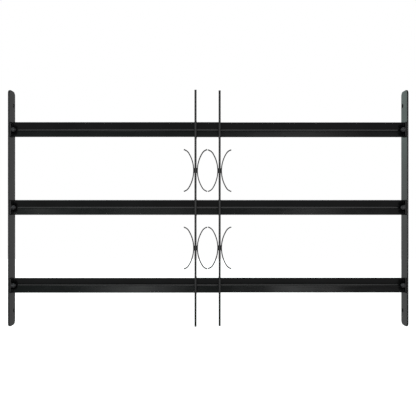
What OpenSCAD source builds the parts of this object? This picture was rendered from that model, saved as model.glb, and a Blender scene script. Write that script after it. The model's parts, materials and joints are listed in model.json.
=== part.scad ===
// Adjustable three-bar window grille: two end plates screwed to the window reveal, three telescopic
// crossbars of nested V section between them, and two upright ornament rods with curved strips.
// X runs along the crossbars, Z is up, the room side faces -Y. All sizes are in millimetres.

/* [Overall size] */
// Width over the two end plates, as drawn
width = 766; // [600:2:1000]
// Height of the end plates
height = 455; // [370:5:600]

/* [End plates] */
// Depth of an end plate from its room edge to its back edge
plate_depth = 30; // [26:1:45]
// Thickness of an end plate
plate_thick = 3; // [2.5:0.5:5]
// Corner radius of an end plate
plate_corner = 8; // [2:1:12]
// Diameter of a wall screw hole
wall_hole = 8; // [5:0.5:9]
// Distance of a wall screw hole from the end of its plate
wall_hole_inset = 27.5; // [15:0.5:40]
// Distance of a wall screw hole from the back edge of its plate
wall_hole_back = 7; // [6:0.5:8]

/* [Crossbars] */
// Distance from one crossbar to the next
bar_pitch = 150; // [124:1:180]
// Height of a crossbar
bar_height = 29; // [24:1:36]
// Sheet thickness of a crossbar
bar_sheet = 2; // [1.5:0.25:2.5]
// Distance of the front crossbars' edges behind the plates' room edge
bar_setback = 6; // [5:0.5:8]
// Depth of the valley in a crossbar's room side
valley_depth = 7.2; // [6:0.2:9]
// Width of the flat along the bottom of the valley
valley_flat = 3; // [1:0.5:6]
// Free gap between a front crossbar and the rear crossbar nested in it
nest_gap = 0.3; // [0.2:0.1:1]
// Height of the middle crossbar above the middle of the plates
bar_rise = 1.5; // [0:0.5:6]

/* [Tabs and fasteners] */
// Depth of the tab welded to each crossbar end
tab_depth = 17; // [15:0.5:19]
// Thickness of a tab
tab_thick = 2; // [1.5:0.5:4]
// Thread diameter of a tab screw
screw_size = 5; // [4:0.5:6]
// Length of a tab screw with its countersunk head
screw_length = 12; // [10:1:16]
// Free gap between a tab screw's washer and the bottom of the crossbar's valley
washer_gap = 0.2; // [0.1:0.1:1]

/* [Rods and guide loops] */
// Width of an upright rod
rod_width = 4; // [3:0.5:6]
// Depth of an upright rod
rod_deep = 3; // [2:0.5:4]
// Distance of a rod's end from the end plates' end height
rod_short = 1.5; // [0:0.5:20]
// Distance from the middle of the grille to the left rod
left_rod_offset = 24.2; // [22:0.2:40]
// Distance from the middle of the grille to the right rod
right_rod_offset = 21.9; // [20:0.1:40]
// Distance of the left rod's face in front of the plates' room edge
left_rod_proud = 4; // [3:0.5:8]
// Band thickness of a guide loop
band = 1.5; // [1:0.25:2]
// Free gap between a guide loop and the crossbar that slides in it
slide_gap = 0.4; // [0.2:0.1:1]

/* [Curved strips] */
// Sideways reach of a curved strip's oval
scroll_reach = 22.2; // [16:0.1:26]
// Half the height of a curved strip's oval
scroll_half = 40.2; // [25:0.1:42]
// Radius of a curved strip near its tips
scroll_tip_radius = 15; // [10:0.5:18]
// Angle at which the tips of a curved strip end
scroll_tip_angle = 77; // [60:1:90]
// Thickness of a curved strip
scroll_thick = 2; // [1:0.25:3]
// Depth of a curved strip
scroll_deep = 5; // [3:0.5:5]
// Height of the weld between a curved strip and its rod
weld_height = 9.5; // [6:0.5:14]

/* [Hidden] */
$fn = 64;
eps = 0.01;
plate_x = width / 2;
plate_in = plate_x - plate_thick;
tab_in = plate_in - tab_thick;
depth_mid = (plate_depth - left_rod_proud) / 2;
// crossbar section
bar_half = bar_height / 2;
flat_half = valley_flat / 2;
sheet_tilt = atan2(valley_depth, bar_half - flat_half - bar_sheet / 2);
tip_front_z = bar_half - bar_sheet * sin(sheet_tilt);
tip_back_y = bar_sheet * cos(sheet_tilt);
flange_run = valley_depth / (tip_front_z - flat_half);
valley_back = valley_depth + bar_sheet;
back_flat_half = flat_half + bar_sheet * tan(sheet_tilt / 2);
nest_shift = bar_sheet / cos(sheet_tilt) + nest_gap;
z_top = bar_rise + bar_pitch;
z_middle = bar_rise;
z_bottom = bar_rise - bar_pitch;
bar_levels = [z_top, z_middle, z_bottom];
front_bar_end = right_rod_offset + rod_width / 2;
rear_bar_end = left_rod_offset + rod_width / 2;
rear_back = bar_setback + nest_shift + valley_back;
// tabs and fasteners
tab_front = 2;
head_r = screw_size;
screw_clear = 0.25;
washer_r = screw_size;
screw_setback = bar_setback + valley_depth - washer_r - washer_gap;
washer_thick = 1;
nut_flat = screw_size * 1.6;
nut_thick = screw_size * 0.8;
nut_clear = 0.1;
socket_flat = screw_size * 0.6;
socket_deep = screw_size * 0.32;
point_chamfer = 0.6;
tab_corner = 2;
// rods, loops and strips
right_rod_front = bar_setback - band - rod_deep;
left_rod_back = rod_deep - left_rod_proud;
rod_chamfer = 0.8;
loop_bend = 2;
loop_front_gap = 1;
loop_back_gap = 0.5;
left_loop_front = bar_setback - loop_front_gap;
spacer_height = 12;
loop_weld = 4;
weld_gap = 0.5;
weld_inset = 0.25;
scroll_drop = 2;
scroll_crowd = 1;
scroll_step = bar_pitch / 2 - scroll_crowd;
scroll_body_radius = (pow(scroll_reach, 2) + pow(scroll_half, 2) - 2 * scroll_half * scroll_tip_radius)
  / (2 * (scroll_reach - scroll_tip_radius));
scroll_join_angle = atan2(scroll_half - scroll_tip_radius, scroll_body_radius - scroll_reach);
body_centre = scroll_reach - scroll_body_radius;
tip_centre = scroll_half - scroll_tip_radius;
upper_z = scroll_step - scroll_drop;
lower_z = -scroll_step - scroll_drop;
left_rod_x = -left_rod_offset;
right_rod_x = right_rod_offset;
black_coat = [0.09, 0.09, 0.1];
black_zinc = [0.17, 0.17, 0.18];

// rectangle with round corners, centred
module round_rect(w, h, r) {
  square([w - 2 * r, h], center = true);
  square([w, h - 2 * r], center = true);
  for (sx = [-1, 1], sy = [-1, 1])
    translate([sx * (w / 2 - r), sy * (h / 2 - r)])
      circle(r);
}

// draws a section given in depth and height along X, from x0 over length
module along_x(x0, length) {
  translate([x0, -depth_mid, 0])
    rotate([90, 0, 90])
      linear_extrude(length)
        children();
}

// round hole or peg along X at depth y and height z, from x0 over length
module peg_x(x0, length, y, z, r1, r2) {
  translate([x0, y - depth_mid, z])
    rotate([0, 90, 0])
      cylinder(h = length, r1 = r1, r2 = r2);
}

// end plate on side s (-1 left, 1 right), with wall holes and countersunk tab screw holes
module end_plate(s) {
  hole_r = screw_size / 2 + screw_clear;
  cone = head_r - hole_r;
  difference() {
    along_x(min(s * plate_in, s * plate_x), plate_thick)
      translate([plate_depth / 2, 0])
        round_rect(plate_depth, height, plate_corner);
    for (z = [-1, 1])
      peg_x(min(s * plate_in, s * plate_x) - 1, plate_thick + 2, plate_depth - wall_hole_back,
        z * (height / 2 - wall_hole_inset), wall_hole / 2, wall_hole / 2);
    for (z = bar_levels) {
      peg_x(min(s * plate_in, s * plate_x) - 1, plate_thick + 2, screw_setback, z, hole_r, hole_r);
      if (s < 0)
        peg_x(-plate_x, cone, screw_setback, z, head_r, hole_r);
      if (s > 0)
        peg_x(plate_x - cone, cone, screw_setback, z, hole_r, head_r);
    }
  }
}

// folded section of a crossbar, room edges at depth 0 and centred on its height
module bar_section() {
  polygon([
    [0, tip_front_z],
    [tip_back_y, bar_half],
    [valley_back, back_flat_half],
    [valley_back, -back_flat_half],
    [tip_back_y, -bar_half],
    [0, -tip_front_z],
    [valley_depth, -flat_half],
    [valley_depth, flat_half]]);
}

module front_bar(z) {
  translate([0, 0, z])
    along_x(-tab_in, tab_in + front_bar_end)
      translate([bar_setback, 0])
        bar_section();
}

module rear_bar(z) {
  translate([0, 0, z])
    along_x(-rear_bar_end, tab_in + rear_bar_end)
      translate([bar_setback + nest_shift, 0])
        bar_section();
}

// tab welded to the end of a crossbar and screwed to the end plate
module end_tab(s, z) {
  hole_r = screw_size / 2 + screw_clear;
  translate([0, 0, z])
    difference() {
      along_x(min(s * plate_in, s * tab_in), tab_thick)
        translate([tab_front + tab_depth / 2, 0])
          round_rect(tab_depth, bar_height, tab_corner);
      peg_x(min(s * plate_in, s * tab_in) - 1, tab_thick + 2, screw_setback, 0, hole_r, hole_r);
    }
}

// countersunk socket screws through one end plate, heads flush with its outer face
module tab_screws(s) {
  shank = screw_size / 2;
  for (z = bar_levels)
    translate([s * plate_x, screw_setback - depth_mid, z])
      rotate([0, -s * 90, 0])
        difference() {
          union() {
            cylinder(h = head_r - shank, r1 = head_r, r2 = shank);
            translate([0, 0, head_r - shank - eps])
              cylinder(h = screw_length - head_r + shank - point_chamfer + eps, r = shank);
            translate([0, 0, screw_length - point_chamfer])
              cylinder(h = point_chamfer, r1 = shank, r2 = shank - point_chamfer);
          }
          translate([0, 0, -1])
            cylinder(h = socket_deep + 1, r = socket_flat / sqrt(3), $fn = 6);
        }
}

module tab_washers(s) {
  for (z = bar_levels)
    translate([s * tab_in, screw_setback - depth_mid, z])
      rotate([0, -s * 90, 0])
        difference() {
          cylinder(h = washer_thick, r = washer_r);
          translate([0, 0, -1])
            cylinder(h = washer_thick + 2, r = screw_size / 2 + screw_clear);
        }
}

module tab_nuts(s) {
  for (z = bar_levels)
    translate([s * (tab_in - washer_thick), screw_setback - depth_mid, z])
      rotate([0, -s * 90, 0])
        difference() {
          cylinder(h = nut_thick, r = nut_flat / sqrt(3), $fn = 6);
          translate([0, 0, -1])
            cylinder(h = nut_thick + 2, r = screw_size / 2 + nut_clear);
        }
}

// closed band round both nested crossbars, inner faces at depths y0 and y1
module loop_band(x, z, y0, y1) {
  inner_h = bar_height + 2 * slide_gap;
  translate([0, 0, z])
    along_x(x - rod_width / 2, rod_width)
      difference() {
        translate([(y0 + y1) / 2, 0])
          round_rect(y1 - y0 + 2 * band, inner_h + 2 * band, loop_bend);
        translate([(y0 + y1) / 2, 0])
          square([y1 - y0, inner_h], center = true);
      }
}

module left_loop(z) {
  loop_band(left_rod_x, z, left_loop_front, rear_back);
}

module right_loop(z) {
  loop_band(right_rod_x, z, bar_setback, rear_back + loop_back_gap);
  translate([0, 0, z])
    along_x(right_rod_x - rod_width / 2, rod_width)
      for (m = [-1, 1])
        scale([1, m])
          polygon([
            [bar_setback - eps, tip_front_z],
            [bar_setback, tip_front_z],
            [bar_setback + loop_weld * flange_run, tip_front_z - loop_weld],
            [bar_setback - eps, tip_front_z - loop_weld]]);
}

// upright rod with its ends eased, room face at depth y
module upright_rod(x, y) {
  c = rod_chamfer;
  h = height / 2 - rod_short;
  along_x(x - rod_width / 2, rod_width)
    translate([y, 0])
      polygon([
        [c, h],
        [rod_deep, h],
        [rod_deep, -h],
        [c, -h],
        [0, c - h],
        [0, h - c]]);
}

// area inside a curved strip's three-arc oval, its line moved out by t
module oval_area(t) {
  far = 2 * scroll_body_radius;
  intersection() {
    translate([body_centre, 0])
      circle(scroll_body_radius + t);
    polygon([
      [body_centre, 0],
      [body_centre + far * cos(scroll_join_angle), far * sin(scroll_join_angle)],
      [body_centre + far * cos(scroll_join_angle), -far * sin(scroll_join_angle)]]);
  }
  for (m = [-1, 1])
    translate([0, m * tip_centre])
      circle(scroll_tip_radius + t);
}

// outline of a curved strip, its bow at +X, cut off square at both tips
module strip_outline() {
  half = scroll_thick / 2;
  far = 2 * scroll_half;
  intersection() {
    difference() {
      oval_area(half);
      oval_area(-half);
    }
    polygon([
      [0, tip_centre],
      [far * cos(scroll_tip_angle), tip_centre + far * sin(scroll_tip_angle)],
      [far, far * 2],
      [far, -far * 2],
      [far * cos(scroll_tip_angle), -tip_centre - far * sin(scroll_tip_angle)],
      [0, -tip_centre]]);
  }
}

// curved strip bowed towards its rod; s is the side of the rod it stands on
module scroll(x, s, y, z) {
  near = x + s * (rod_width / 2 + weld_gap);
  translate([near + s * (scroll_reach + scroll_thick / 2), y + scroll_deep - depth_mid, z])
    rotate([90, 0, 0])
      linear_extrude(scroll_deep)
        scale([-s, 1])
          strip_outline();
}

// weld between a rod's side and the bow of a curved strip
module scroll_weld(x, s, y, z) {
  outer_r = scroll_body_radius + scroll_thick / 2;
  face = x + s * rod_width / 2;
  translate([0, y + rod_deep - weld_inset - depth_mid, z])
    rotate([90, 0, 0])
      linear_extrude(rod_deep - 2 * weld_inset)
        difference() {
          translate([min(face, face + s * 2 * weld_gap), -weld_height / 2])
            square([2 * weld_gap, weld_height]);
          translate([face + s * (weld_gap + outer_r), 0])
            circle(outer_r, $fn = 360);
        }
}

module left_end_plate() {
  color(black_coat) end_plate(-1);
}
module right_end_plate() {
  color(black_coat) end_plate(1);
}
module front_bar_top() {
  color(black_coat) front_bar(z_top);
}
module front_bar_middle() {
  color(black_coat) front_bar(z_middle);
}
module front_bar_bottom() {
  color(black_coat) front_bar(z_bottom);
}
module rear_bar_top() {
  color(black_coat) rear_bar(z_top);
}
module rear_bar_middle() {
  color(black_coat) rear_bar(z_middle);
}
module rear_bar_bottom() {
  color(black_coat) rear_bar(z_bottom);
}
module left_tab_top() {
  color(black_coat) end_tab(-1, z_top);
}
module left_tab_middle() {
  color(black_coat) end_tab(-1, z_middle);
}
module left_tab_bottom() {
  color(black_coat) end_tab(-1, z_bottom);
}
module right_tab_top() {
  color(black_coat) end_tab(1, z_top);
}
module right_tab_middle() {
  color(black_coat) end_tab(1, z_middle);
}
module right_tab_bottom() {
  color(black_coat) end_tab(1, z_bottom);
}
module left_tab_screws() {
  color(black_zinc) tab_screws(-1);
}
module left_tab_washers() {
  color(black_zinc) tab_washers(-1);
}
module left_tab_nuts() {
  color(black_zinc) tab_nuts(-1);
}
module right_tab_screws() {
  color(black_zinc) tab_screws(1);
}
module right_tab_washers() {
  color(black_zinc) tab_washers(1);
}
module right_tab_nuts() {
  color(black_zinc) tab_nuts(1);
}
module left_loop_top() {
  color(black_coat) left_loop(z_top);
}
module left_loop_middle() {
  color(black_coat) left_loop(z_middle);
}
module left_loop_bottom() {
  color(black_coat) left_loop(z_bottom);
}
module right_loop_top() {
  color(black_coat) right_loop(z_top);
}
module right_loop_middle() {
  color(black_coat) right_loop(z_middle);
}
module right_loop_bottom() {
  color(black_coat) right_loop(z_bottom);
}
module left_rod() {
  color(black_coat) upright_rod(left_rod_x, -left_rod_proud);
}
module right_rod() {
  color(black_coat) upright_rod(right_rod_x, right_rod_front);
}
module left_rod_spacers() {
  color(black_coat)
    for (z = bar_levels)
      translate([left_rod_x - rod_width / 2, left_rod_back - depth_mid, z - spacer_height / 2])
        cube([rod_width, left_loop_front - band - left_rod_back, spacer_height]);
}
module left_scroll_upper_outer() {
  color(black_coat) scroll(left_rod_x, -1, -left_rod_proud, upper_z);
}
module left_scroll_upper_inner() {
  color(black_coat) scroll(left_rod_x, 1, -left_rod_proud, upper_z);
}
module left_scroll_lower_outer() {
  color(black_coat) scroll(left_rod_x, -1, -left_rod_proud, lower_z);
}
module left_scroll_lower_inner() {
  color(black_coat) scroll(left_rod_x, 1, -left_rod_proud, lower_z);
}
module right_scroll_upper_outer() {
  color(black_coat) scroll(right_rod_x, 1, right_rod_front, upper_z);
}
module right_scroll_upper_inner() {
  color(black_coat) scroll(right_rod_x, -1, right_rod_front, upper_z);
}
module right_scroll_lower_outer() {
  color(black_coat) scroll(right_rod_x, 1, right_rod_front, lower_z);
}
module right_scroll_lower_inner() {
  color(black_coat) scroll(right_rod_x, -1, right_rod_front, lower_z);
}
module left_scroll_welds() {
  color(black_coat)
    for (s = [-1, 1], z = [upper_z, lower_z])
      scroll_weld(left_rod_x, s, -left_rod_proud, z);
}
module right_scroll_welds() {
  color(black_coat)
    for (s = [-1, 1], z = [upper_z, lower_z])
      scroll_weld(right_rod_x, s, right_rod_front, z);
}

left_end_plate();
right_end_plate();
front_bar_top();
front_bar_middle();
front_bar_bottom();
rear_bar_top();
rear_bar_middle();
rear_bar_bottom();
left_tab_top();
left_tab_middle();
left_tab_bottom();
right_tab_top();
right_tab_middle();
right_tab_bottom();
left_tab_screws();
left_tab_washers();
left_tab_nuts();
right_tab_screws();
right_tab_washers();
right_tab_nuts();
left_loop_top();
left_loop_middle();
left_loop_bottom();
right_loop_top();
right_loop_middle();
right_loop_bottom();
left_rod();
right_rod();
left_rod_spacers();
left_scroll_upper_outer();
left_scroll_upper_inner();
left_scroll_lower_outer();
left_scroll_lower_inner();
right_scroll_upper_outer();
right_scroll_upper_inner();
right_scroll_lower_outer();
right_scroll_lower_inner();
left_scroll_welds();
right_scroll_welds();
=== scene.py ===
import json
import math

import bmesh
import bpy
from bpy.props import FloatProperty, FloatVectorProperty, IntProperty, PointerProperty
from bpy.types import Operator, Panel, PropertyGroup
from mathutils import Matrix, Vector


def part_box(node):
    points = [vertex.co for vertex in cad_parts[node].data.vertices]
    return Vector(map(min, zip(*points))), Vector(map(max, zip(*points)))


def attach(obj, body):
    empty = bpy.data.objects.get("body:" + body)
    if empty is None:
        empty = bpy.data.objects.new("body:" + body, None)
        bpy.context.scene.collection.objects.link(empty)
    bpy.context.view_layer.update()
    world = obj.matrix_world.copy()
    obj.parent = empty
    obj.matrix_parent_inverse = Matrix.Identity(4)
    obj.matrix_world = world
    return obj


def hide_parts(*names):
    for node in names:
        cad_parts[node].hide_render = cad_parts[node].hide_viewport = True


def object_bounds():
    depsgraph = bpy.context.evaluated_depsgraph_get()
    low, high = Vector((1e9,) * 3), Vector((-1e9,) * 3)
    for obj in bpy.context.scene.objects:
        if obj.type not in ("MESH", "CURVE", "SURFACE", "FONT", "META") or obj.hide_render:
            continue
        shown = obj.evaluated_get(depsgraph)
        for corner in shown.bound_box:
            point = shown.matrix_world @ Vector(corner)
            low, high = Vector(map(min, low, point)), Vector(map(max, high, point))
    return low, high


bl_info = {
    "name": "Window grille",
    "version": (1, 0, 0),
    "blender": (4, 5, 0),
    "location": "3D View > Sidebar > Grille",
    "description": "Builds the visible pieces of a telescopic three-bar window grille",
    "category": "Object",
}

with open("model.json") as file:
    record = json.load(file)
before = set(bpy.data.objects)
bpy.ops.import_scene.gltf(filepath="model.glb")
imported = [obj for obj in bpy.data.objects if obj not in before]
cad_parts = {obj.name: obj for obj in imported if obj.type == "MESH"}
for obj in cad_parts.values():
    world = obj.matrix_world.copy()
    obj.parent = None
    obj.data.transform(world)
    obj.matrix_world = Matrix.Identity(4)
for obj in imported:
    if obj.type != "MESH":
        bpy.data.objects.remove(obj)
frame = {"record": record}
CAD_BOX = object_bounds()
MOUNTS = {mount["name"]: mount for mount in frame["record"]["mounts"]}
LEVELS = ("top", "middle", "bottom")
SIDES = {"left": -1, "right": 1}
# the half of the grille that each side's rod, guide loops and strips ride on
ORNAMENT_HALVES = {"left": "right_half", "right": "left_half"}

# lengths in metres
MM = 0.001
MERGE = 0.0000005  # vertices nearer than this are one
NEAR = 0.0001  # distances that differ by less are equal
HEAD_CHAMFER = 0.0002  # round the top of a screw's head
SCREW_CHAMFER = 0.0006  # round the end of a screw
WASHER_ROUND = 0.00015
NUT_CHAMFER = 0.0004
NUT_CORNER = 0.0003
NUT_CLEARANCE = 0.0001
ROD_CHAMFER = 0.0008
STRIP_WELD_OFF = 0.0003  # a strip's weld lies this far off its rod's side
BACK_WELD_STOP = 0.001  # the weld behind a crossbar's end stops this far from its edges
VALLEY_WELD_DEPTH = 0.0006  # a weld in the valley starts this deep
VALLEY_WELD_STOP = 0.0022  # and this far from the crossbar's edge
DUST_SPOT = 0.004
ROLLED_LINE = 0.0016
ZINC_PATCH = 0.0025
TURNING_MARK = 0.0004
TURNING_DEPTH = 0.00001
FLOOR_HALF = 9.0
CAMERA_SHIFT = 0.0004  # the camera stands this far left of the grille's middle and above it

# shares of the thread pitch
THREAD_ROOT = 0.5  # from a crest to the root, along the screw and into it
THREAD_CREST = 0.9  # from a crest to the start of the next one

# shares of the rounding of cut edges
ROD_EASE = 1.6
LOOP_EASE = 0.8

# shares of a weld bead's radius, from the metal's face to the bead's middle line
FRONT_BEAD = 1.2
REAR_BEAD = 0.2
END_BEAD = 0.3
RIDGE_BEAD = 0.35

# where a weld in the valley ends, as shares of the crossbar's depth and half height
VALLEY_WELD_END = (0.45, 0.48)

# roughness up and down from the middle
GLOSS_DRIFT = 0.05
GRAIN_GLOSS = 0.03
ROLLED_GLOSS = 0.04

WHITE = (1, 1, 1, 1)
DUST = (0.03, 0.029, 0.027)
DUST_MOST = 0.12  # share of dust where it lies thickest
GRAIN = 0.35  # size of the coat's grain as a share of its peel
COAT_IOR = 1.48


def mid(node):
    """Middle of a CAD node's box."""
    low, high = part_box(node)
    return (Vector(low) + Vector(high)) / 2


def span(node):
    """Lowest and highest corner of a CAD node as vectors."""
    low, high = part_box(node)
    return Vector(low), Vector(high)


# ---------------------------------------------------------------- settings


class GrilleSizes(PropertyGroup):
    sheet: FloatProperty(
        name="Sheet", description="Sheet thickness of the crossbars",
        default=0.002, min=0.0005, unit="LENGTH", precision=4)
    valley_flat: FloatProperty(
        name="Valley flat", description="Width of the flat along the bottom of a crossbar's valley",
        default=0.003, min=0.0005, unit="LENGTH", precision=4)
    fold_radius: FloatProperty(
        name="Fold radius", description="Distance the rounding of a fold reaches from its corner",
        default=0.0006, min=0.0001, unit="LENGTH", precision=4)
    edge_round: FloatProperty(
        name="Edge round", description="Rounding of cut edges under the coat",
        default=0.00035, min=0.00005, unit="LENGTH", precision=5)
    plate_corner: FloatProperty(
        name="Plate corner", description="Corner radius of an end plate",
        default=0.008, min=0.001, unit="LENGTH", precision=4)
    tab_corner: FloatProperty(
        name="Tab corner", description="Corner radius of a crossbar's end tab",
        default=0.002, min=0.0005, unit="LENGTH", precision=4)
    loop_corner: FloatProperty(
        name="Loop corner", description="Outside corner radius of a guide loop",
        default=0.002, min=0.0005, unit="LENGTH", precision=4)
    loop_band: FloatProperty(
        name="Loop band", description="Band thickness of a guide loop",
        default=0.0015, min=0.0005, unit="LENGTH", precision=4)
    screw_radius: FloatProperty(
        name="Screw radius", description="Thread radius of a tab screw",
        default=0.0025, min=0.001, unit="LENGTH", precision=4)
    screw_clearance: FloatProperty(
        name="Screw clearance", description="Gap round a tab screw in its hole",
        default=0.00025, min=0.0, unit="LENGTH", precision=5)
    thread_pitch: FloatProperty(
        name="Thread pitch", description="Distance between thread crests",
        default=0.0008, min=0.0003, unit="LENGTH", precision=5)
    socket_flats: FloatProperty(
        name="Socket", description="Distance across the flats of a screw's socket",
        default=0.003, min=0.001, unit="LENGTH", precision=4)
    socket_depth: FloatProperty(
        name="Socket depth", description="Depth of a screw's socket",
        default=0.0016, min=0.0005, unit="LENGTH", precision=4)
    strip_thick: FloatProperty(
        name="Strip thickness", description="Thickness of a curved strip",
        default=0.002, min=0.0005, unit="LENGTH", precision=4)
    strip_reach: FloatProperty(
        name="Strip reach", description="Sideways half size of a curved strip's oval",
        default=0.0222, min=0.01, unit="LENGTH", precision=4)
    strip_half: FloatProperty(
        name="Strip half height", description="Upright half size of a curved strip's oval",
        default=0.0402, min=0.02, unit="LENGTH", precision=4)
    strip_tip_radius: FloatProperty(
        name="Tip radius", description="Radius of a curved strip near its tips",
        default=0.015, min=0.005, unit="LENGTH", precision=4)
    strip_tip_angle: FloatProperty(
        name="Tip angle", description="Angle at which the tips of a curved strip end",
        default=math.radians(77), subtype="ANGLE")
    weld_length: FloatProperty(
        name="Weld length", description="Length of a weld between a strip and its rod",
        default=0.0095, min=0.002, unit="LENGTH", precision=4)
    bead_radius: FloatProperty(
        name="Bead radius", description="Radius of a weld bead",
        default=0.0009, min=0.0003, unit="LENGTH", precision=5)
    bead_ripple: FloatProperty(
        name="Bead ripple", description="Distance between the ripples of a weld bead",
        default=0.0013, min=0.0004, unit="LENGTH", precision=5)
    steps: IntProperty(
        name="Steps", description="Faces round a full turn", default=32, min=12)


class GrilleFinish(PropertyGroup):
    coat_colour: FloatVectorProperty(
        name="Coat", description="Colour of the powder coat",
        subtype="COLOR", size=3, default=(0.0085, 0.0085, 0.0092), min=0, max=1)
    coat_roughness: FloatProperty(
        name="Coat roughness", description="Roughness of the powder coat",
        default=0.2, min=0, max=1, subtype="FACTOR")
    rod_colour: FloatVectorProperty(
        name="Ornament coat", description="Colour of the coat on rods and strips",
        subtype="COLOR", size=3, default=(0.0095, 0.0095, 0.0102), min=0, max=1)
    peel_size: FloatProperty(
        name="Peel size", description="Distance between bumps of the coat's texture",
        default=0.0009, min=0.0002, unit="LENGTH", precision=5)
    peel_depth: FloatProperty(
        name="Peel depth", description="Depth of the coat's texture",
        default=0.00001, min=0.0, unit="LENGTH", precision=6)
    zinc_colour: FloatVectorProperty(
        name="Zinc", description="Colour of the black zinc on screws and nuts",
        subtype="COLOR", size=3, default=(0.17, 0.17, 0.178), min=0, max=1)


class GrilleStage(PropertyGroup):
    camera_distance: FloatProperty(
        name="Camera distance", description="Distance from the end plates' room edges",
        default=1.0, min=0.2, unit="LENGTH")
    lens: FloatProperty(
        name="Lens", description="Focal length in millimetres on a 36 mm wide sensor",
        default=45.27, min=10)
    floor_drop: FloatProperty(
        name="Floor drop", description="Height of the grille's lower edge above the floor",
        default=0.75, min=0.0, unit="LENGTH")
    front_light: FloatProperty(
        name="Front light", description="Brightness of the soft light behind the camera",
        default=1.0, min=0)
    rear_light: FloatProperty(
        name="Rear light", description="Brightness of the soft light high behind the grille",
        default=1.0, min=0)
    over_light: FloatProperty(
        name="Overhead light", description="Brightness of the overhead soft lights",
        default=1.0, min=0)
    fill: FloatProperty(
        name="Fill", description="Strength of the surroundings' light from every side",
        default=0.21, min=0)
    back_light: FloatProperty(
        name="Back light", description="Strength of the surroundings' light from behind the grille",
        default=0.115, min=0)
    corner_light: FloatProperty(
        name="Corner light", description="Extra strength from behind on the upper left",
        default=0.46, min=0)
    corner_colour: FloatVectorProperty(
        name="Corner colour", description="Colour of the extra light on the upper left",
        subtype="COLOR", size=3, default=(0.82, 1.0, 0.94), min=0, max=1)


# ---------------------------------------------------------------- mesh helpers


def finish_piece(bm, name, body, material, slot, *nodes):
    """Turns a closed bmesh into a finished object that rides on its body."""
    bmesh.ops.remove_doubles(bm, verts=bm.verts[:], dist=MERGE)
    bmesh.ops.recalc_face_normals(bm, faces=bm.faces[:])
    open_edges = [edge for edge in bm.edges if not edge.is_manifold]
    if open_edges:
        raise RuntimeError(f"{name} has {len(open_edges)} open edges")
    mesh = bpy.data.meshes.new(name)
    bm.to_mesh(mesh)
    bm.free()
    mesh.materials.append(bpy.data.materials[material])
    obj = bpy.data.objects.new(name, mesh)
    bpy.context.scene.collection.objects.link(obj)
    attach(obj, body)
    if nodes:
        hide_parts(*nodes)


def round_edges(bm, edges, width, segments):
    """Rounds the edges; the rounding is shaded smooth."""
    made = bmesh.ops.bevel(bm, geom=edges, offset=width, offset_type="OFFSET", segments=segments,
                           profile=0.5, affect="EDGES", clamp_overlap=True, material=-1)
    for face in made["faces"]:
        face.smooth = True


def across_x(edge):
    """Whether an edge lies across X."""
    return abs(edge.verts[0].co.x - edge.verts[1].co.x) < NEAR


def ease_edges(bm, width, segments, least, across=False):
    """Rounds every edge sharper than the least angle in degrees, or only those across X."""
    bmesh.ops.recalc_face_normals(bm, faces=bm.faces[:])
    edges = [edge for edge in bm.edges
             if edge.is_manifold and edge.calc_face_angle(0) > math.radians(least)
             and (across_x(edge) or not across)]
    round_edges(bm, edges, width, segments)


def shade_walls(bm):
    """Shades the curved walls along X smooth and the straight ones flat."""
    for face in bm.faces:
        if abs(face.normal.x) < 0.95:
            face.smooth = True
        if max(abs(face.normal.y), abs(face.normal.z)) > 0.9999:
            face.smooth = False


def lift(bm, made, vec):
    """Moves the vertices that an extrusion made, and returns them."""
    verts = [item for item in made["geom"] if isinstance(item, bmesh.types.BMVert)]
    bmesh.ops.translate(bm, verts=verts, vec=vec)
    return verts


def cross_turn(where):
    """Places a flat shape across X."""
    return Matrix.Translation(where) @ Matrix.Rotation(math.pi / 2, 4, "Y")


def round_loop(bm, x, y, z, radius, steps):
    """Circle of edges across X."""
    bmesh.ops.create_circle(bm, cap_ends=False, segments=steps, radius=radius,
                            matrix=cross_turn((x, y, z)))


def round_corners(bm, face, radius, steps):
    """Rounds a face's corners and leaves only its edges."""
    bmesh.ops.bevel(bm, geom=list(face.verts), offset=radius, offset_type="OFFSET", segments=steps,
                    profile=0.5, affect="VERTICES", clamp_overlap=True, material=-1)
    bmesh.ops.delete(bm, geom=bm.faces[:], context="FACES_ONLY")


def box_loop(bm, x, y0, y1, z0, z1, corner, steps=6):
    """Rectangle of edges across X with round corners."""
    corners = ((y0, z0), (y1, z0), (y1, z1), (y0, z1))
    face = bm.faces.new([bm.verts.new((x, y, z)) for y, z in corners])
    round_corners(bm, face, corner, steps)


def fill_and_thicken(bm, *depths):
    """Fills the loops into a face with holes and extrudes it along X by each depth in turn."""
    bmesh.ops.triangle_fill(bm, use_beauty=True, use_dissolve=False, edges=bm.edges[:],
                            normal=(1, 0, 0))
    ends = bm.faces[:]
    inside = []
    for turn, depth in enumerate(depths):
        made = bmesh.ops.extrude_face_region(bm, geom=ends)
        if turn > 0:
            inside += ends
        ends = [item for item in made["geom"] if isinstance(item, bmesh.types.BMFace)]
        lift(bm, made, (depth, 0, 0))
    bmesh.ops.delete(bm, geom=inside, context="FACES")
    return ends


def sweep(bm, points, vec):
    """Closed outline of points, extruded along vec."""
    face = bm.faces.new([bm.verts.new(point) for point in points])
    lift(bm, bmesh.ops.extrude_face_region(bm, geom=[face]), vec)


def lathe(bm, profile, centre, steps):
    """Turns a profile of (along X, radius) points about the X line through centre."""
    verts = [bm.verts.new(centre + Vector((x, radius, 0))) for x, radius in profile]
    edges = [bm.edges.new(pair) for pair in zip(verts, verts[1:])]
    bmesh.ops.spin(bm, geom=verts + edges, cent=centre, axis=(1, 0, 0), dvec=(0, 0, 0),
                   angle=2 * math.pi, steps=steps, use_merge=True, use_duplicate=False)
    bmesh.ops.remove_doubles(bm, verts=bm.verts[:], dist=MERGE)


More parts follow.
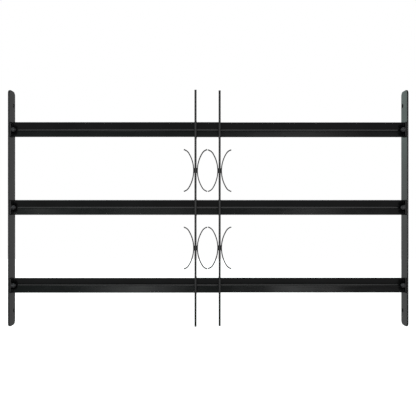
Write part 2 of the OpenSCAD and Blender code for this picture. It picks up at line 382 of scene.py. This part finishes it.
def bead(bm, path, radius, ripple, rings=5, end=0.5, wave=0.16):
    """Weld bead along a path of points that lies across X.

    Each ripple has that many rings and swells by wave, a share of the radius. The bead tapers at
    both ends to the share end of its radius.
    """
    points = []
    for here, there in zip(path, path[1:]):
        count = max(1, round((there - here).length * rings / ripple))
        points += [here.lerp(there, i / count) for i in range(count)]
    points.append(path[-1])
    heading = (points[1] - points[0]).normalized()
    turn = Matrix.Translation(points[0]) @ heading.to_track_quat("Z", "X").to_matrix().to_4x4()
    size = radius * end
    made = bmesh.ops.create_circle(bm, cap_ends=False, segments=8, radius=size, matrix=turn)
    edges = list({edge for vert in made["verts"] for edge in vert.link_edges})
    first = edges
    last = len(points) - 2
    for i, (here, there) in enumerate(zip(points, points[1:])):
        made = bmesh.ops.extrude_edge_only(bm, edges=edges)
        ring = lift(bm, made, there - here)
        edges = [item for item in made["geom"] if isinstance(item, bmesh.types.BMEdge)
                 and all(vert in ring for vert in item.verts)]
        if i < last:
            onward = (points[i + 2] - there).normalized()
            if onward.dot(heading) < 0.9999:
                swing = heading.rotation_difference(onward).to_matrix()
                bmesh.ops.rotate(bm, verts=ring, cent=there, matrix=swing)
                heading = onward
        swell = 1 + wave * math.cos(2 * math.pi * (i + 1) / rings)
        wanted = radius * (end if i == last else swell)
        bmesh.ops.scale(bm, verts=ring, vec=(wanted / size,) * 3, space=Matrix.Translation(-there))
        size = wanted
    bmesh.ops.holes_fill(bm, edges=first + edges, sides=0)
    for face in bm.faces:
        face.smooth = True


def join(bm, part):
    """Adds a finished part to a bmesh."""
    mesh = bpy.data.meshes.new("part")
    part.to_mesh(mesh)
    part.free()
    bm.from_mesh(mesh)
    bpy.data.meshes.remove(mesh)


# ---------------------------------------------------------------- finishes


def new_material(name):
    """Empty material: its nodes, its shader and its Object coordinates."""
    material = bpy.data.materials.new(name)
    material.use_nodes = True
    tree = material.node_tree
    place = tree.nodes.new("ShaderNodeTexCoord")
    return tree, tree.nodes["Principled BSDF"], place.outputs["Object"]


def feed(tree, socket, value):
    """Sets a socket to a number or colour, or links another node's output to it."""
    if isinstance(value, bpy.types.NodeSocket):
        tree.links.new(value, socket)
    else:
        socket.default_value = value


def noise(tree, vector, size, detail, rough=0.5):
    """Noise whose features are about size metres across."""
    node = tree.nodes.new("ShaderNodeTexNoise")
    node.inputs["Scale"].default_value = 1 / size
    node.inputs["Detail"].default_value = detail
    node.inputs["Roughness"].default_value = rough
    tree.links.new(vector, node.inputs["Vector"])
    return node.outputs["Fac"]


def spread(tree, source, low, high, first=0.35, last=0.65):
    """Spreads a source's values from first to last between low and high."""
    node = tree.nodes.new("ShaderNodeMapRange")
    node.inputs["From Min"].default_value = first
    node.inputs["From Max"].default_value = last
    node.inputs["To Min"].default_value = low
    node.inputs["To Max"].default_value = high
    tree.links.new(source, node.inputs["Value"])
    return node.outputs["Result"]


def around(tree, source, middle, reach):
    """Spreads a source's values as far below a middle value as above it."""
    return spread(tree, source, middle - reach, middle + reach)


def reckon(tree, operation, *values):
    """Math node on numbers and other nodes' outputs."""
    node = tree.nodes.new("ShaderNodeMath")
    node.operation = operation
    for socket, value in zip(node.inputs, values):
        feed(tree, socket, value)
    return node.outputs[0]


def blend_colours(tree, factor, first, second):
    """Colour between two others, each fixed or another node's output."""
    node = tree.nodes.new("ShaderNodeMix")
    node.data_type = "RGBA"
    feed(tree, node.inputs["Factor"], factor)
    feed(tree, node.inputs["A"], first)
    feed(tree, node.inputs["B"], second)
    return node.outputs["Result"]


def split_axes(tree, vector):
    """The X, Y and Z of a vector."""
    node = tree.nodes.new("ShaderNodeSeparateXYZ")
    tree.links.new(vector, node.inputs["Vector"])
    return node.outputs


def relief(tree, height, strength, distance, under=None):
    """Bump on the plain surface or over another bump."""
    node = tree.nodes.new("ShaderNodeBump")
    node.inputs["Strength"].default_value = strength
    node.inputs["Distance"].default_value = distance
    tree.links.new(height, node.inputs["Height"])
    if under:
        tree.links.new(under, node.inputs["Normal"])
    return node.outputs["Normal"]


def shade(colour, share):
    """A share of a colour's brightness, with full alpha."""
    return (*[part * share for part in colour], 1)


def dusted(tree, place, under):
    """Colour with a little settled dust on faces that look up."""
    shape = tree.nodes.new("ShaderNodeNewGeometry")
    up = split_axes(tree, shape.outputs["Normal"])["Z"]
    level = spread(tree, up, 0, DUST_MOST, 0.8, 1.0)
    specks = spread(tree, noise(tree, place, DUST_SPOT, 6, 0.7), 0.1, 1, 0.4, 0.7)
    return blend_colours(tree, reckon(tree, "MULTIPLY", level, specks), under, shade(DUST, 1))


def powder_coat(name, colour, roughness, peel_size, peel_depth, clumps, rolled):
    """Satin black powder coat with fine orange peel, slow gloss drift and a little dust.

    Rolled scales the noise for the lines that rolling leaves in the sheet under the coat, or is
    None where the piece isn't made of sheet.
    """
    tree, shader, place = new_material(name)
    drift = noise(tree, place, clumps, 3)
    grain = noise(tree, place, peel_size * GRAIN, 2)
    peel = noise(tree, place, peel_size, 2, 0.45)
    tone = blend_colours(tree, spread(tree, drift, 0, 1), shade(colour, 0.75), shade(colour, 1.35))
    tree.links.new(dusted(tree, place, tone), shader.inputs["Base Color"])
    gloss = reckon(tree, "ADD", around(tree, drift, roughness, GLOSS_DRIFT),
                   around(tree, grain, 0, GRAIN_GLOSS))
    surface = None
    if rolled:
        stretch = tree.nodes.new("ShaderNodeMapping")
        stretch.inputs["Scale"].default_value = rolled
        tree.links.new(place, stretch.inputs["Vector"])
        lines = noise(tree, stretch.outputs["Vector"], ROLLED_LINE, 3, 0.6)
        gloss = reckon(tree, "ADD", gloss, around(tree, lines, 0, ROLLED_GLOSS))
        surface = relief(tree, lines, 1.0, peel_depth * 0.5)
    tree.links.new(gloss, shader.inputs["Roughness"])
    surface = relief(tree, peel, 1.0, peel_depth, surface)
    surface = relief(tree, grain, 0.6, peel_depth * 0.25, surface)
    tree.links.new(surface, shader.inputs["Normal"])
    shader.inputs["IOR"].default_value = COAT_IOR


def black_zinc(name, colour):
    """Black zinc plate on steel with darker patches, fine turning marks and a dull gloss."""
    tree, shader, place = new_material(name)
    patch = noise(tree, place, ZINC_PATCH, 4, 0.6)
    tone = blend_colours(tree, spread(tree, patch, 0, 1), shade(colour, 0.6), shade(colour, 1.5))
    tree.links.new(tone, shader.inputs["Base Color"])
    tree.links.new(spread(tree, patch, 0.3, 0.45), shader.inputs["Roughness"])
    surface = relief(tree, noise(tree, place, TURNING_MARK, 3), 0.5, TURNING_DEPTH)
    tree.links.new(surface, shader.inputs["Normal"])
    shader.inputs["Metallic"].default_value = 0.75


class GRILLE_OT_finishes(Operator):
    """Makes the powder coat and plating materials"""
    bl_idname = "grille.finishes"
    bl_label = "Finishes"

    def execute(self, context):
        finish = context.scene.grille_finish
        coat, rod = tuple(finish.coat_colour), tuple(finish.rod_colour)
        for name, colour, duller, size, depth, clumps, rolled in (
                ("crossbar coat", coat, 0, 1, 1, 0.06, (0.02, 1, 1)),
                ("end plate coat", coat, 0, 1, 1, 0.045, (1, 1, 0.03)),
                ("ornament coat", rod, 0.02, 0.8, 0.8, 0.03, None),
                ("weld coat", coat, 0.06, 0.6, 0.8, 0.01, None)):
            powder_coat(name, colour, finish.coat_roughness + duller, finish.peel_size * size,
                        finish.peel_depth * depth, clumps, rolled)
        black_zinc("black zinc", tuple(finish.zinc_colour))
        return {"FINISHED"}


# ---------------------------------------------------------------- pieces


class GRILLE_OT_end_plates(Operator):
    """Builds the two end plates with their wall holes and countersunk screw holes"""
    bl_idname = "grille.end_plates"
    bl_label = "End plates"

    def execute(self, context):
        sizes = context.scene.grille_sizes
        hole = sizes.screw_radius + sizes.screw_clearance
        head = sizes.screw_radius * 2
        cone = head - hole
        for side, sign in SIDES.items():
            node = f"{side}_end_plate"
            low, high = span(node)
            inner = low.x if sign > 0 else high.x
            mount = MOUNTS[f"{side}_wall_holes"]
            wall_y, wall_z = mount["pos_m"][1:]
            wall_half = mount["dims"]["spacing_y_mm"] * MM / 2
            wall_hole = mount["dims"]["hole_r_mm"] * MM
            bm = bmesh.new()
            box_loop(bm, inner, low.y, high.y, low.z, high.z, sizes.plate_corner, 8)
            for z in (wall_z - wall_half, wall_z + wall_half):
                round_loop(bm, inner, wall_y, z, wall_hole, sizes.steps)
            y = mid(f"{side}_tab_screws").y
            levels = [mid(f"{side}_tab_{level}").z for level in LEVELS]
            for z in levels:
                round_loop(bm, inner, y, z, hole, sizes.steps)
            outer = fill_and_thicken(bm, sign * (high.x - low.x - cone), sign * cone)
            rim = {vert for face in outer for vert in face.verts}
            for z in levels:
                ring = [vert for vert in rim
                        if abs(math.hypot(vert.co.y - y, vert.co.z - z) - hole) < NEAR]
                bmesh.ops.scale(bm, verts=ring, vec=(1, head / hole, head / hole),
                                space=Matrix.Translation((0, -y, -z)))
            ease_edges(bm, sizes.edge_round, 2, 25, across=True)
            shade_walls(bm)
            finish_piece(bm, f"{side}_plate", f"{side}_half", "end plate coat", "end_plates", node)
        return {"FINISHED"}


def bar_outline(sizes, deep, half):
    """Outline across a crossbar, as (depth, height) from the middle of its open side."""
    flat = sizes.valley_flat / 2
    valley = deep - sizes.sheet
    tilt = math.atan2(valley, half - flat - sizes.sheet / 2)
    tip_z = half - sizes.sheet * math.sin(tilt)
    tip_y = sizes.sheet * math.cos(tilt)
    back = flat + sizes.sheet * math.tan(tilt / 2)
    return [(0, tip_z), (tip_y, half), (deep, back), (deep, -back), (tip_y, -half), (0, -tip_z),
            (valley, -flat), (valley, flat)]


class GRILLE_OT_crossbars(Operator):
    """Builds the six folded crossbars"""
    bl_idname = "grille.crossbars"
    bl_label = "Crossbars"

    def execute(self, context):
        sizes = context.scene.grille_sizes
        for row, body in (("front", "left_half"), ("rear", "right_half")):
            for level in LEVELS:
                node = f"{row}_bar_{level}"
                low, high = span(node)
                half = (high.z - low.z) / 2
                centre = (low.z + high.z) / 2
                outline = bar_outline(sizes, high.y - low.y, half)
                bm = bmesh.new()
                sweep(bm, [(low.x, low.y + y, centre + z) for y, z in outline],
                      (high.x - low.x, 0, 0))
                folds = [edge for edge in bm.edges if not across_x(edge)
                         and abs(edge.verts[0].co.z - centre) < half / 2]
                round_edges(bm, folds, sizes.fold_radius, 4)
                ease_edges(bm, sizes.edge_round, 3, 40)
                finish_piece(bm, f"{row}_crossbar_{level}", body, "crossbar coat", "crossbars",
                             node)
        return {"FINISHED"}


class GRILLE_OT_end_tabs(Operator):
    """Builds the tabs at the crossbars' ends"""
    bl_idname = "grille.end_tabs"
    bl_label = "End tabs"

    def execute(self, context):
        sizes = context.scene.grille_sizes
        for side in SIDES:
            y = mid(f"{side}_tab_screws").y
            for level in LEVELS:
                node = f"{side}_tab_{level}"
                low, high = span(node)
                bm = bmesh.new()
                box_loop(bm, low.x, low.y, high.y, low.z, high.z, sizes.tab_corner)
                round_loop(bm, low.x, y, (low.z + high.z) / 2,
                           sizes.screw_radius + sizes.screw_clearance, sizes.steps)
                fill_and_thicken(bm, high.x - low.x)
                ease_edges(bm, sizes.edge_round, 2, 60, across=True)
                shade_walls(bm)
                finish_piece(bm, f"{side}_end_tab_{level}", f"{side}_half", "crossbar coat",
                             "crossbars", node)
        return {"FINISHED"}


def screw_profile(sizes, seat, length):
    """Half outline of a screw, as (distance from its head, radius), threaded past its seat."""
    shank, pitch = sizes.screw_radius, sizes.thread_pitch
    head = shank * 2
    root = pitch * THREAD_ROOT
    profile = [(0, head - HEAD_CHAMFER), (HEAD_CHAMFER, head), (head - shank, shank),
               (seat, shank)]
    along = seat
    while along + pitch < length - SCREW_CHAMFER:
        profile += [(along + root, shank - root), (along + pitch * THREAD_CREST, shank),
                    (along + pitch, shank)]
        along += pitch
    return profile + [(length - SCREW_CHAMFER, shank), (length, shank - SCREW_CHAMFER),
                      (length, 0)]


def close_head(bm, centre, sign, sizes):
    """Closes a screw's open head with a face that has a hexagon socket in it."""
    rim = [edge for edge in bm.edges if edge.is_boundary]
    made = bmesh.ops.create_circle(bm, cap_ends=False, segments=6,
                                   radius=sizes.socket_flats / math.sqrt(3),
                                   matrix=cross_turn(centre))
    hexagon = list({edge for vert in made["verts"] for edge in vert.link_edges})
    bmesh.ops.triangle_fill(bm, use_beauty=True, use_dissolve=False, edges=rim + hexagon,
                            normal=(sign, 0, 0))
    walls = bmesh.ops.extrude_edge_only(bm, edges=hexagon)
    lift(bm, walls, (-sign * sizes.socket_depth, 0, 0))
    bmesh.ops.holes_fill(bm, edges=[edge for edge in bm.edges if edge.is_boundary], sides=0)


class GRILLE_OT_tab_screws(Operator):
    """Builds the countersunk socket screws with their threads"""
    bl_idname = "grille.tab_screws"
    bl_label = "Tab screws"

    def execute(self, context):
        sizes = context.scene.grille_sizes
        for side, sign in SIDES.items():
            node = f"{side}_tab_screws"
            low, high = span(node)
            nut_low, nut_high = span(f"{side}_tab_nuts")
            outer = high.x if sign > 0 else low.x
            seat = outer - nut_high.x if sign > 0 else nut_low.x - outer
            profile = screw_profile(sizes, seat, high.x - low.x)
            bm = bmesh.new()
            for level in LEVELS:
                part = bmesh.new()
                centre = Vector((outer, mid(node).y, mid(f"{side}_tab_{level}").z))
                lathe(part, [(-sign * x, radius) for x, radius in profile], centre, sizes.steps)
                for face in part.faces:
                    face.smooth = abs(face.normal.x) < 0.97
                close_head(part, centre, sign, sizes)
                join(bm, part)
            finish_piece(bm, f"{side}_screws", f"{side}_half", "black zinc", "fasteners", node)
        return {"FINISHED"}


class GRILLE_OT_tab_washers(Operator):
    """Builds the washers"""
    bl_idname = "grille.tab_washers"
    bl_label = "Tab washers"

    def execute(self, context):
        sizes = context.scene.grille_sizes
        for side in SIDES:
            node = f"{side}_tab_washers"
            low, high = span(node)
            bm = bmesh.new()
            for level in LEVELS:
                part = bmesh.new()
                y, z = mid(node).y, mid(f"{side}_tab_{level}").z
                round_loop(part, low.x, y, z, (high.y - low.y) / 2, sizes.steps)
                round_loop(part, low.x, y, z, sizes.screw_radius + sizes.screw_clearance,
                           sizes.steps)
                fill_and_thicken(part, high.x - low.x)
                ease_edges(part, WASHER_ROUND, 2, 60)
                shade_walls(part)
                join(bm, part)
            finish_piece(bm, f"{side}_washers", f"{side}_half", "black zinc", "fasteners", node)
        return {"FINISHED"}


class GRILLE_OT_tab_nuts(Operator):
    """Builds the hexagon nuts with chamfered corners"""
    bl_idname = "grille.tab_nuts"
    bl_label = "Tab nuts"

    def execute(self, context):
        sizes = context.scene.grille_sizes
        for side in SIDES:
            node = f"{side}_tab_nuts"
            low, high = span(node)
            flats = high.y - low.y
            bm = bmesh.new()
            for level in LEVELS:
                part = bmesh.new()
                y, z = mid(node).y, mid(f"{side}_tab_{level}").z
                round_loop(part, low.x, y, z, flats / math.sqrt(3), 6)
                round_loop(part, low.x, y, z, sizes.screw_radius + NUT_CLEARANCE, sizes.steps)
                fill_and_thicken(part, high.x - low.x)
                corners = [edge for edge in part.edges if not across_x(edge)
                           and math.hypot(edge.verts[0].co.y - y, edge.verts[0].co.z - z)
                           > flats / 2]
                round_edges(part, corners, NUT_CORNER, 2)
                ease_edges(part, NUT_CHAMFER, 1, 60)
                join(bm, part)
            finish_piece(bm, f"{side}_nuts", f"{side}_half", "black zinc", "fasteners", node)
        return {"FINISHED"}


class GRILLE_OT_rods(Operator):
    """Builds the two upright rods and the spacers behind the left one"""
    bl_idname = "grille.rods"
    bl_label = "Rods and spacers"

    def execute(self, context):
        sizes = context.scene.grille_sizes
        for side, body in ORNAMENT_HALVES.items():
            node = f"{side}_rod"
            low, high = span(node)
            face_y = low.y + ROD_CHAMFER
            outline = [(face_y, high.z), (high.y, high.z), (high.y, low.z), (face_y, low.z),
                       (low.y, low.z + ROD_CHAMFER), (low.y, high.z - ROD_CHAMFER)]
            bm = bmesh.new()
            sweep(bm, [(low.x, y, z) for y, z in outline], (high.x - low.x, 0, 0))
            ease_edges(bm, sizes.edge_round * ROD_EASE, 4, 30)
            finish_piece(bm, f"{side}_upright", body, "ornament coat", "ornament", node)
        node = "left_rod_spacers"
        low, high = span(node)
        tall = high.z - low.z - (mid("left_loop_top").z - mid("left_loop_bottom").z)
        shape = Matrix.Diagonal((high.x - low.x, high.y - low.y, tall, 1))
        bm = bmesh.new()
        for level in LEVELS:
            part = bmesh.new()
            place = Matrix.Translation((mid(node).x, mid(node).y, mid(f"left_loop_{level}").z))
            bmesh.ops.create_cube(part, size=1, matrix=place @ shape)
            ease_edges(part, sizes.edge_round, 3, 30)
            join(bm, part)
        finish_piece(bm, "left_upright_spacers", ORNAMENT_HALVES["left"], "ornament coat",
                     "ornament", node)
        return {"FINISHED"}


class GRILLE_OT_guide_loops(Operator):
    """Builds the bands that hold each pair of nested crossbars together"""
    bl_idname = "grille.guide_loops"
    bl_label = "Guide loops"

    def execute(self, context):
        sizes = context.scene.grille_sizes
        band = sizes.loop_band
        for side, body in ORNAMENT_HALVES.items():
            for level in LEVELS:
                node = f"{side}_loop_{level}"
                low, high = span(node)
                bm = bmesh.new()
                box_loop(bm, low.x, low.y, high.y, low.z, high.z, sizes.loop_corner)
                box_loop(bm, low.x, low.y + band, high.y - band, low.z + band, high.z - band,
                         sizes.loop_corner / 4, 3)
                fill_and_thicken(bm, high.x - low.x)
                ease_edges(bm, sizes.edge_round * LOOP_EASE, 2, 60, across=True)
                shade_walls(bm)
                finish_piece(bm, f"{side}_guide_{level}", body, "ornament coat", "ornament", node)
        return {"FINISHED"}


def sweep_strip(bm, sizes, y0, y1):
    """Strip that bows towards +X, swept from its low tip along a long arc between two short ones."""
    reach, tall, tip = sizes.strip_reach, sizes.strip_half, sizes.strip_tip_radius
    half = sizes.strip_thick / 2
    long_radius = (reach ** 2 + tall ** 2 - 2 * tall * tip) / (2 * (reach - tip))
    join_angle = math.atan2(tall - tip, long_radius - reach)
    tip_turn = sizes.strip_tip_angle - join_angle
    low_tip = Vector((0, 0, tip - tall))
    corners = ((tip - half, y0), (tip + half, y0), (tip + half, y1), (tip - half, y1))
    face = bm.faces.new([bm.verts.new((x, y, low_tip.z)) for x, y in corners])
    round_corners(bm, face, sizes.edge_round, 2)
    bmesh.ops.rotate(bm, verts=bm.verts[:], cent=low_tip,
                     matrix=Matrix.Rotation(sizes.strip_tip_angle, 3, "Y"))
    geom = bm.verts[:] + bm.edges[:]
    for centre, angle, steps in ((low_tip, tip_turn, 12),
                                 (Vector((reach - long_radius, 0, 0)), 2 * join_angle, 22),
                                 (-low_tip, tip_turn, 12)):
        geom = bmesh.ops.spin(bm, geom=geom, cent=centre, axis=(0, -1, 0), dvec=(0, 0, 0),
                              angle=angle, steps=steps, use_merge=False,
                              use_duplicate=False)["geom_last"]
    for face in bm.faces:
        face.smooth = True
    ends = [edge for edge in bm.edges if edge.is_boundary]
    for face in bmesh.ops.holes_fill(bm, edges=ends, sides=0)["faces"]:
        face.smooth = False


class GRILLE_OT_curved_strips(Operator):
    """Builds the eight curved strips"""
    bl_idname = "grille.curved_strips"
    bl_label = "Curved strips"

    def execute(self, context):
        sizes = context.scene.grille_sizes
        for side, body in ORNAMENT_HALVES.items():
            for level in ("upper", "lower"):
                for place in ("outer", "inner"):
                    node = f"{side}_scroll_{level}_{place}"
                    low, high = span(node)
                    bow = -1 if (side == "left") == (place == "inner") else 1
                    apex = high.x if bow > 0 else low.x
                    bm = bmesh.new()
                    sweep_strip(bm, sizes, low.y, high.y)
                    if bow < 0:
                        bmesh.ops.scale(bm, verts=bm.verts[:], vec=(-1, 1, 1))
                    shift = apex - bow * (sizes.strip_reach + sizes.strip_thick / 2)
                    bmesh.ops.translate(bm, verts=bm.verts[:], vec=(shift, 0, mid(node).z))
                    finish_piece(bm, f"{side}_strip_{level}_{place}", body, "ornament coat",
                                 "ornament", node)
        return {"FINISHED"}


def lay_bead(bm, path, sizes):
    """Adds a weld bead to a bmesh."""
    part = bmesh.new()
    bead(part, path, sizes.bead_radius, sizes.bead_ripple)
    join(bm, part)


class GRILLE_OT_welds(Operator):
    """Lays the weld beads at the strips and at the crossbars' ends"""
    bl_idname = "grille.welds"
    bl_label = "Welds"

    def execute(self, context):
        sizes = context.scene.grille_sizes
        radius = sizes.bead_radius
        reach = Vector((0, 0, sizes.weld_length / 2))
        # beads between the strips and their rods, front and back
        for side, body in ORNAMENT_HALVES.items():
            low, high = span(f"{side}_rod")
            bm = bmesh.new()
            for level in ("upper", "lower"):
                z = mid(f"{side}_scroll_{level}_outer").z
                for x in (low.x - STRIP_WELD_OFF, high.x + STRIP_WELD_OFF):
                    for y in (low.y + radius * FRONT_BEAD, high.y + radius * REAR_BEAD):
                        at = Vector((x, y, z))
                        lay_bead(bm, [at - reach, at + reach], sizes)
            finish_piece(bm, f"{side}_strip_welds", body, "weld coat", "ornament",
                         f"{side}_scroll_welds")
        # beads round the crossbars' ends on their tabs: one along the back, two in the valley
        for side, sign in SIDES.items():
            row = "front" if side == "left" else "rear"
            bm = bmesh.new()
            for level in LEVELS:
                low, high = span(f"{row}_bar_{level}")
                x = (low.x if sign < 0 else high.x) - sign * radius * END_BEAD
                z = (low.z + high.z) / 2
                half = (high.z - low.z) / 2
                deep = high.y - low.y
                rim = (low.y + sizes.sheet, half - BACK_WELD_STOP)
                ridge = (low.y + deep - radius * RIDGE_BEAD, sizes.valley_flat / 2)
                back = [rim, ridge, (ridge[0], -ridge[1]), (rim[0], -rim[1])]
                lay_bead(bm, [Vector((x, y, z + up)) for y, up in back], sizes)
                share_y, share_z = VALLEY_WELD_END
                valley = [(low.y + VALLEY_WELD_DEPTH, half - VALLEY_WELD_STOP),
                          (low.y + deep * share_y, half * share_z)]
                for way in (-1, 1):
                    lay_bead(bm, [Vector((x, y, z + way * up)) for y, up in valley], sizes)
            finish_piece(bm, f"{side}_tab_welds", f"{side}_half", "weld coat", "crossbars")
        return {"FINISHED"}


# ---------------------------------------------------------------- stage


def lay_floor(scene, height):
    """Pale floor that shows white and doesn't tint what stands over it."""
    bm = bmesh.new()
    bmesh.ops.create_grid(bm, x_segments=1, y_segments=1, size=FLOOR_HALF,
                          matrix=Matrix.Translation((0, 0, height)))
    mesh = bpy.data.meshes.new("floor")
    bm.to_mesh(mesh)
    bm.free()
    pale = bpy.data.materials.new("pale floor")
    pale.use_nodes = True
    shader = pale.node_tree.nodes["Principled BSDF"]
    shader.inputs["Base Color"].default_value = (0.9, 0.9, 0.9, 1)
    shader.inputs["Roughness"].default_value = 0.9
    shader.inputs["Emission Color"].default_value = WHITE
    shader.inputs["Emission Strength"].default_value = 1.0
    mesh.materials.append(pale)
    floor = bpy.data.objects.new("floor", mesh)
    floor.visible_glossy = False
    floor.visible_diffuse = False
    scene.collection.objects.link(floor)


def light_surroundings(scene, stage):
    """World that looks white, and lights the grille most from behind on the upper left."""
    world = bpy.data.worlds.new("studio")
    world.use_nodes = True
    scene.world = world
    tree = world.node_tree
    tree.nodes.clear()
    output = tree.nodes.new("ShaderNodeOutputWorld")
    ray = tree.nodes.new("ShaderNodeLightPath")
    seen = tree.nodes.new("ShaderNodeBackground")
    seen.inputs["Strength"].default_value = 1.0
    seen.inputs["Color"].default_value = WHITE
    place = tree.nodes.new("ShaderNodeTexCoord")
    way = split_axes(tree, place.outputs["Generated"])
    corner = reckon(tree, "MULTIPLY", spread(tree, way["X"], 1, 0, -0.35, 0.3),
                    spread(tree, way["Z"], 0.2, 1.35, -0.05, 0.2))
    rear = spread(tree, way["Y"], 0, 1, -0.1, 0.5)
    behind = reckon(tree, "MULTIPLY_ADD", corner, stage.corner_light, stage.back_light)
    whole = reckon(tree, "MULTIPLY_ADD", behind, rear, stage.fill)
    lit = tree.nodes.new("ShaderNodeBackground")
    colour = blend_colours(tree, corner, WHITE, (*stage.corner_colour, 1))
    tree.links.new(colour, lit.inputs["Color"])
    tree.links.new(whole, lit.inputs["Strength"])
    mix = tree.nodes.new("ShaderNodeMixShader")
    tree.links.new(ray.outputs["Is Camera Ray"], mix.inputs["Fac"])
    tree.links.new(lit.outputs["Background"], mix.inputs[1])
    tree.links.new(seen.outputs["Background"], mix.inputs[2])
    tree.links.new(mix.outputs["Shader"], output.inputs["Surface"])


def hang_softbox(scene, name, where, wide, tall, brightness, target):
    """Soft light that looks equally bright at any size."""
    lamp = bpy.data.lights.new(name, "AREA")
    lamp.shape = "RECTANGLE"
    lamp.size = wide
    lamp.size_y = tall
    lamp.energy = brightness * math.pi * wide * tall
    obj = bpy.data.objects.new(name, lamp)
    obj.location = where
    obj.rotation_euler = (target - obj.location).to_track_quat("-Z", "Y").to_euler()
    obj.visible_camera = False
    scene.collection.objects.link(obj)


def set_camera(scene, lens, where):
    """Camera that looks level along Y."""
    camera = bpy.data.cameras.new("camera")
    camera.lens = lens
    camera.sensor_width = 36
    obj = bpy.data.objects.new("camera", camera)
    obj.location = where
    obj.rotation_euler = (math.pi / 2, 0, 0)
    scene.collection.objects.link(obj)
    scene.camera = obj


class GRILLE_OT_stage(Operator):
    """Sets the floor, the lights and the camera"""
    bl_idname = "grille.stage"
    bl_label = "Stage"

    def execute(self, context):
        stage = context.scene.grille_stage
        scene = context.scene
        low, high = (Vector(corner) for corner in CAD_BOX)
        centre = (low + high) / 2
        front = span("left_end_plate")[0].y
        lay_floor(scene, low.z - stage.floor_drop)
        light_surroundings(scene, stage)
        over = stage.over_light
        for name, where, wide, tall, brightness in (
                ("front softbox", (0.0, -2.6, 0.1), 3.2, 1.4, stage.front_light),
                ("low softbox left", (-0.37, -1.0, 1.24), 0.34, 0.45, over),
                ("low softbox right", (0.48, -1.0, 1.24), 0.3, 0.45, over),
                ("high softbox far left", (-0.97, -1.0, 1.88), 0.22, 0.35, over * 0.6),
                ("high softbox left", (-0.22, -1.0, 1.88), 0.22, 0.35, over * 0.3),
                ("high softbox right", (0.64, -1.0, 1.88), 0.2, 0.35, over * 0.45),
                ("top softbox right", (0.61, -1.0, 2.88), 0.6, 0.5, over * 0.5),
                ("rear softbox", (-0.3, 2.0, 1.7), 2.6, 0.9, stage.rear_light)):
            hang_softbox(scene, name, where, wide, tall, brightness, centre)
        set_camera(scene, stage.lens, (centre.x - CAMERA_SHIFT, front - stage.camera_distance,
                                       centre.z + CAMERA_SHIFT))
        scene.view_settings.view_transform = "Standard"
        return {"FINISHED"}


class GRILLE_PT_panel(Panel):
    """Lists the grille's pieces in the sidebar"""
    bl_label = "Window grille"
    bl_idname = "GRILLE_PT_panel"
    bl_space_type = "VIEW_3D"
    bl_region_type = "UI"
    bl_category = "Grille"

    def draw(self, context):
        for name in STEPS:
            self.layout.operator(f"grille.{name}")
        for group in (context.scene.grille_sizes, context.scene.grille_finish,
                      context.scene.grille_stage):
            for key in group.__annotations__:
                self.layout.prop(group, key)


STEPS = ("finishes", "stage", "end_plates", "crossbars", "end_tabs", "tab_screws", "tab_washers",
         "tab_nuts", "rods", "guide_loops", "curved_strips", "welds")
CLASSES = (GrilleSizes, GrilleFinish, GrilleStage, GRILLE_OT_finishes, GRILLE_OT_stage,
           GRILLE_OT_end_plates, GRILLE_OT_crossbars, GRILLE_OT_end_tabs, GRILLE_OT_tab_screws,
           GRILLE_OT_tab_washers, GRILLE_OT_tab_nuts, GRILLE_OT_rods, GRILLE_OT_guide_loops,
           GRILLE_OT_curved_strips, GRILLE_OT_welds, GRILLE_PT_panel)


def register():
    for cls in CLASSES:
        bpy.utils.register_class(cls)
    bpy.types.Scene.grille_sizes = PointerProperty(type=GrilleSizes)
    bpy.types.Scene.grille_finish = PointerProperty(type=GrilleFinish)
    bpy.types.Scene.grille_stage = PointerProperty(type=GrilleStage)


def unregister():
    del bpy.types.Scene.grille_stage
    del bpy.types.Scene.grille_finish
    del bpy.types.Scene.grille_sizes
    for cls in reversed(CLASSES):
        bpy.utils.unregister_class(cls)


def main():
    register()
    for name in STEPS:
        getattr(bpy.ops.grille, name)()


if __name__ == "__main__":
    main()
